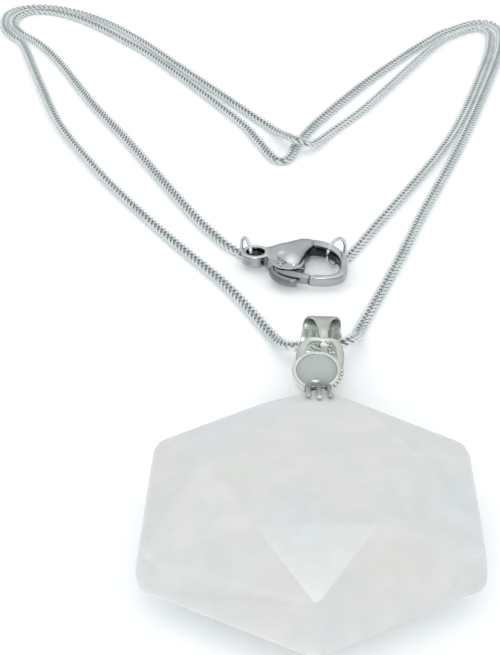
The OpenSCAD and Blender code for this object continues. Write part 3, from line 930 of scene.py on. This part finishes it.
def eye_ring():
    """A ring of metal with squared corners about the eye's hole, with a shallow groove round its wall."""
    a = np.linspace(0, 2 * np.pi, TURN_COLS, endpoint=False)
    x, z = rounded(EYE_SIDES, 0.6)
    groove = 0.12 * np.exp(-((z - 0.05) / 0.35) ** 2) * (x > 0)
    radius = EYE_R + EYE_WALL * x - groove
    ring = np.stack([radius[None, :] * np.cos(a)[:, None], radius[None, :] * np.sin(a)[:, None],
                     np.repeat(0.1 + EYE_HALF_H * z[None, :], TURN_COLS, 0)], -1)
    return ring.reshape(-1, 3), grid_faces(TURN_COLS, EYE_SIDES, ring=True).tolist()


def slanted_end(path, amount):
    """0 along a path, and amount over the last of its steps, which slants its end face."""
    return np.where(np.arange(len(path)) > len(path) - PATH_STEPS, amount, 0)


def hook_bar():
    """The hook: tall and wide where it leaves the shoulder, slimmer round the bend, cut on a slant."""
    path = smooth_path(HOOK, PATH_STEPS)
    return bar(path, along_path(path, [0.85, 0.75, 0.48, 0.42, 0.42, 0.42]),
               along_path(path, [1.0, 0.9, 0.66, 0.62, 0.6, 0.6]), cols=24, power=0.45,
               shear=slanted_end(path, -GATE_SLANT))


print("clasp's outlines, points:", len(SWELL), len(CHEEK), len(CORE), "and the hook's path:", len(HOOK))

# %% [markdown]
# Fused, the casting is given painted light and shade. Painted shade darkens the wall that faces the hook's
# opening, the inside of the eye and the slot for the lever. A point counts as hidden when its outward
# direction points to the opening's middle. Painted highlights lie along the rounded upper edges of the eye
# and the hook, and on two spots on the shoulder.

# %% The casting
OPENING = (7.2, -1.9)
OPENING_REACH = 4.6
EYE_HOLE_R = 0.95
# Middles of the two painted highlights on the shoulder
SHOULDER_HIGHLIGHT_AT = (3.85, -2.75)
GLINT_AT = (2.8, -1.3)
SEAM_AT = (6.05, -5.3)
PIN_PROFILE = [[0.01, -0.95], [0.28, -0.95], [0.3, -0.9], [0.3, 0.9], [0.28, 0.95], [0.01, 0.95]]
pin = capped_tube(spun(PIN_PROFILE, 24) + PIVOT)
upper_cheek = cushion(CHEEK, [3.8, -0.8], [0.54, 0.64], [0.54, 0.7])
lower_cheek = cushion(CHEEK, [3.8, -0.8], [-0.84, -0.54], [-1.2, -0.54])
swell = cushion(SWELL, [4.3, 0.3], [0.6, 0.84], [0.6, 1.42])
core = cushion(CORE, [3.6, 0.3], [-0.7, 0.7], [-1.1, 1.1])
casting_parts = [eye_ring(), core, upper_cheek, swell, lower_cheek, hook_bar(), pin]
casting = fused("clasp_casting", casting_parts, CLASP_CELL, 4)


def hidden_share(mesh):
    """How far each point faces the opening's middle, within its reach and below the top face."""
    at = places(mesh)
    to_middle = OPENING - at[:, :2]
    far = np.linalg.norm(to_middle, axis=1)
    facing_in = (normals(mesh)[:, :2] * to_middle).sum(1) / np.maximum(far, 0.01)
    low = np.clip((1.0 - at[:, 2]) / 0.25, 0, 1)
    return np.clip((facing_in - 0.25) * 2.2, 0, 1) * (far < OPENING_REACH) * low


def edge_share(mesh):
    """How near each point's direction is to that of a rounded upper edge."""
    return np.exp(-((normals(mesh)[:, 2] - 0.72) / 0.2) ** 2) * (places(mesh)[:, 2] > 0.3)


def wall_share(mesh):
    """1 on an upright wall, 0 where the face is level."""
    return 1 - abs(normals(mesh)[:, 2])


def seam_share(mesh):
    """How near each point is to the slanted seam between the gate and the hook's tip."""
    x, y = places(mesh)[:, :2].T
    off = (x - SEAM_AT[0]) - 0.9 * (y - SEAM_AT[1])
    return np.exp(-(off / 0.16) ** 2) * (y < -4.6)


def spot(mesh, middle, spread):
    """A soft spot about a place: it falls off as a bell curve, with its own spread in x and in y."""
    off = (places(mesh)[:, :2] - middle) / spread
    return np.exp(-(off ** 2).sum(1))


def casting_painted_light(mesh):
    """The plain tone with painted highlights on spots and edges, and painted shade on walls, in the eye and
    where hidden.
    """
    x, y, z = places(mesh).T
    # Painted highlights: two soft spots on the shoulder and the rounded upper edges; painted shade on upright
    # walls
    painted_highlight = spot(mesh, SHOULDER_HIGHLIGHT_AT, (0.6, 0.9)) + 0.8 * spot(mesh, GLINT_AT, (0.4, 0.35))
    painted_highlight = np.minimum(painted_highlight, 1) * (z > 0.75)
    edge = edge_share(mesh) * np.interp(x, [1.1, 1.7, 6.6, 7.6], [1, 0, 0, 1])
    tone = 0.49 + 0.42 * painted_highlight + 0.42 * edge - 0.07 * wall_share(mesh)
    # Painted shade in the eye and on faces turned into the hook's opening, stopping just above the wall's
    # foot, which keeps a thin painted highlight
    above_foot = np.clip((z + 0.5) / 0.12, 0, 1)
    in_eye = np.hypot(x, y) < EYE_HOLE_R + 0.12
    in_window = 1 - 0.95 * above_foot * hidden_share(mesh)
    return tone * in_window * np.where(in_eye, 0.12, 1) * (1 - 0.85 * seam_share(mesh))


set_tone_and_painted_light(casting, casting_painted_light(casting))
moved(casting, places(casting) + CLASP_AT)
piece(casting, NECKLACE, clasp_steel, ["clasp_body"])

# %% [markdown]
# The lever is the part that a thumbnail pulls. A broad gate runs from the pin to the hook's tip, and a curved
# tab hangs beside it with a slit between the two. Both are bars on curved paths, fused with a round boss.

# %% The lever
GATE = [[2.5, -2.95, 0], [3.1, -3.8, 0], [4.05, -4.55, 0], [5.1, -5.0, 0], [5.98, -5.22, 0]]
TAB = [[1.95, -2.9, 0], [1.78, -3.6, 0], [2.15, -4.6, 0], [2.95, -5.45, 0], [3.75, -5.95, 0], [4.4, -6.08, 0]]
LEVER_T = 1.0
BOSS_PROFILE = [[0.01, -0.5], [0.7, -0.5], [0.78, -0.42], [0.78, 0.42], [0.7, 0.5], [0.01, 0.5]]


def lever_parts():
    """The gate, slanted to meet the hook, the curved tab beside it and the round boss that they grow from."""
    gate_path = smooth_path(GATE, PATH_STEPS)
    gate = bar(gate_path, along_path(gate_path, [0.7, 0.75, 0.56, 0.46]), LEVER_T / 2, 24, 0.5,
               slanted_end(gate_path, GATE_SLANT))
    tab_path = smooth_path(TAB, PATH_STEPS)
    tab = bar(tab_path, along_path(tab_path, [0.34, 0.33, 0.36, 0.36, 0.32, 0.18]), LEVER_T / 2, 20, 0.85)
    boss = capped_tube(spun(BOSS_PROFILE, 48) + PIVOT)
    return [gate, tab, boss]


def lever_painted_light(mesh):
    """Darker by the pin and lighter towards the gate's tip, with painted shade on upright and hidden faces,
    dark along the seam.
    """
    tone = np.interp(places(mesh)[:, 0], [1.5, 3.5, 5.5], [0.24, 0.31, 0.46])
    # Painted shade on upright faces and on faces turned into the hook's opening
    tone *= 1 - 0.3 * wall_share(mesh)
    return tone * (1 - 0.9 * hidden_share(mesh)) * (1 - 0.85 * seam_share(mesh))


lever_mesh = fused("clasp_gate", lever_parts(), CLASP_CELL, 4)
set_tone_and_painted_light(lever_mesh, lever_painted_light(lever_mesh))
moved(lever_mesh, places(lever_mesh) + CLASP_AT)
piece(lever_mesh, LEVER, clasp_steel, ["clasp_lever"])

# %% [markdown]
# A jump ring is a round of wire with its ends butted together. The seam is a hair's breadth, and the ends
# are closed, so the ring is one clean tube.

# %% Jump rings
RING_WIRE = 0.4
SEAM = 0.06
RING_STEPS = 72
WIRE_STEPS = 14
RING_SHINE = 0.72


def jump_ring(name, middle, outer_d, plane_turn, seam_at, replaces):
    """A tube carried round a circle that stands upright, from one side of its seam to the other."""
    radius = (outer_d - RING_WIRE) / 2
    half_seam = SEAM / radius / 2
    a = np.linspace(half_seam, 2 * np.pi - half_seam, RING_STEPS) + math.radians(seam_at)
    b = np.linspace(0, 2 * np.pi, WIRE_STEPS, endpoint=False)
    reach = radius + RING_WIRE / 2 * np.cos(b)[None, :]
    beside = np.repeat(RING_WIRE / 2 * np.sin(b)[None, :], RING_STEPS, 0)
    ring = np.stack([reach * np.cos(a)[:, None], beside, reach * np.sin(a)[:, None]], -1)
    points, faces = capped_tube(ring)
    mesh = mesh_from(name, turned(points, plane_turn, middle), faces)
    set_tone_and_painted_light(mesh, RING_SHINE)
    return piece(mesh, NECKLACE, clasp_steel, replaces)


jump_ring("eye_jump_ring", [-0.4, -7.45, 1.62], 3.2, 112, 35, ["ring_left"])
jump_ring("hook_jump_ring", [9.5, -8.15, 1.77], 3.5, 48, 150, ["ring_right"])

# %% [markdown]
# The studio is a light table: its white top glows a little, which keeps the shadows as faint as in a
# catalogue picture. The metals need something to reflect, so the room is brighter above than at its horizon.
# One soft box, low and in front, gives the white highlight on the small stone and those on the clasp.

# %% The table
FLOOR_R = 4.0
floor_mesh = bpy.data.meshes.new("table_top")
table_corners = [(FLOOR_R * x, FLOOR_R * y, 0) for x, y in ((-1, -1), (1, -1), (1, 1), (-1, 1))]
floor_mesh.from_pydata(table_corners, [], [(0, 1, 2, 3)])
floor = bpy.data.objects.new("table_top", floor_mesh)
bpy.context.scene.collection.objects.link(floor)
floor_finish, floor_tree, floor_shader = new_material("white_table", Roughness=0.8, Emission_Strength=0.12)
floor_shader.inputs["Base Color"].default_value = (0.95, 0.97, 0.98, 1)
floor_shader.inputs["Emission Color"].default_value = (0.98, 0.99, 1.0, 1)
floor_mesh.materials.append(floor_finish)
print("table, metres across:", 2 * FLOOR_R)

# %% The room and its lights
world = bpy.data.worlds.new("room")
world.use_nodes = True
bpy.context.scene.world = world
room = world.node_tree
where = room.nodes.new("ShaderNodeTexCoord")
split = room.nodes.new("ShaderNodeSeparateXYZ")
room.links.new(where.outputs["Generated"], split.inputs["Vector"])
glow = ramp(room, split.outputs["Z"], [(0.0, (0.38, 0.39, 0.40, 1)), (0.45, (0.85, 0.86, 0.87, 1)),
                                       (0.9, (1.08, 1.08, 1.08, 1))])
room.links.new(glow, room.nodes["Background"].inputs["Color"])
room.nodes["Background"].inputs["Strength"].default_value = 1.0


def soft_box(name, at, radiance, width, height):
    """A light at a place in metres, turned to the middle of the necklace. Its power follows from the
    brightness of its face: radiance times pi times its area."""
    data = bpy.data.lights.new(name, "AREA")
    data.shape = "RECTANGLE"
    data.size = width
    data.size_y = height
    data.energy = radiance * math.pi * width * height
    lamp = bpy.data.objects.new(name, data)
    lamp.location = at
    away = np.array(at, float)
    lean = math.acos(away[2] / np.linalg.norm(away))
    lamp.rotation_euler = (lean, 0, math.atan2(away[1], away[0]) + math.pi / 2)
    bpy.context.scene.collection.objects.link(lamp)
    print(f"{name}: {data.energy:.2f} W")


soft_box("front_box", at=(-0.08, -0.57, 0.25), radiance=4.9, width=0.3, height=0.13)
bpy.context.scene.view_settings.view_transform = "Standard"
